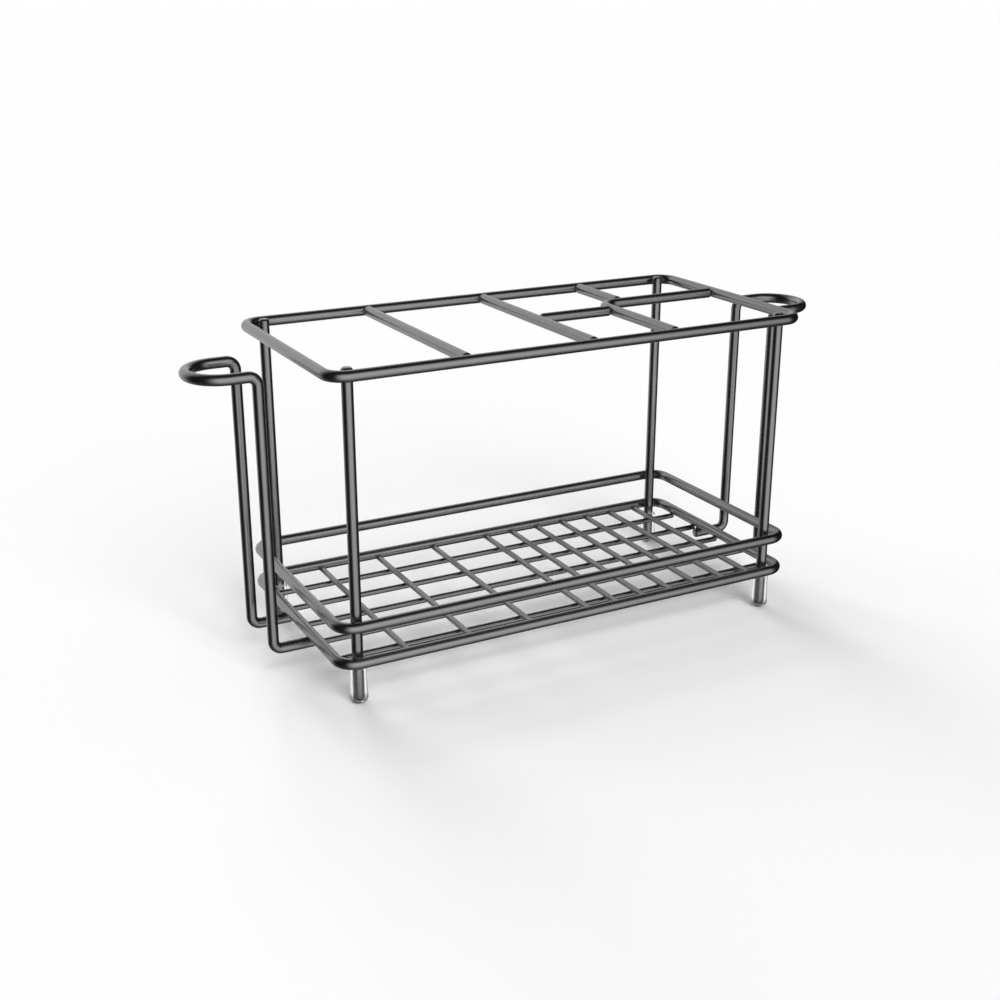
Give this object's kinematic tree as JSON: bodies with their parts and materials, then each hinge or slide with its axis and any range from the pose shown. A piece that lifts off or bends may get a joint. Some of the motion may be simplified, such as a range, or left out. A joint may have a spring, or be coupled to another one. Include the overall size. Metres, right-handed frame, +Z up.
{
  "type": "wire toothbrush holder",
  "caption": "Rectangular wire holder for toothbrushes: divided top ring on posts over a railed tray with a grille floor, and a half round side loop at each end.",
  "frame": {"origin": "on the standing surface, under the middle of the tray", "axes": "+X along the length towards the end with the small compartments, +Y to the rear, +Z up"},
  "size_m": [0.2814, 0.1006, 0.1297],
  "materials": {
    "frame_wire": "smooth dark nickel plating on steel wire",
    "grille_wire": "the same dark nickel plating on thinner wire",
    "foot_cap": "clear glossy plastic"
  },
  "bodies": {
    "root": {"top_ring": "frame_wire", "upper_tray_rail": "frame_wire", "lower_tray_rail": "frame_wire", "post_front_left": "frame_wire", "post_front_right": "frame_wire", "post_rear_left": "frame_wire", "post_rear_right": "frame_wire", "divider_left": "frame_wire", "divider_middle": "frame_wire", "divider_corner_wire": "frame_wire", "divider_cross_short": "frame_wire", "divider_rear_short": "frame_wire", "left_side_loop": "frame_wire", "right_side_loop": "frame_wire", "grille_long_wire_1": "grille_wire", "grille_long_wire_2": "grille_wire", "grille_long_wire_3": "grille_wire", "grille_long_wire_4": "grille_wire", "grille_long_wire_5": "grille_wire", "grille_cross_wire_1": "grille_wire", "grille_cross_wire_2": "grille_wire", "grille_cross_wire_3": "grille_wire", "grille_cross_wire_4": "grille_wire", "grille_cross_wire_5": "grille_wire", "grille_cross_wire_6": "grille_wire", "grille_cross_wire_7": "grille_wire", "grille_cross_wire_8": "grille_wire", "grille_cross_wire_9": "grille_wire", "grille_cross_wire_10": "grille_wire", "foot_cap_front_left": "foot_cap", "foot_cap_front_right": "foot_cap", "foot_cap_rear_left": "foot_cap", "foot_cap_rear_right": "foot_cap"}
  },
  "joints": []
}
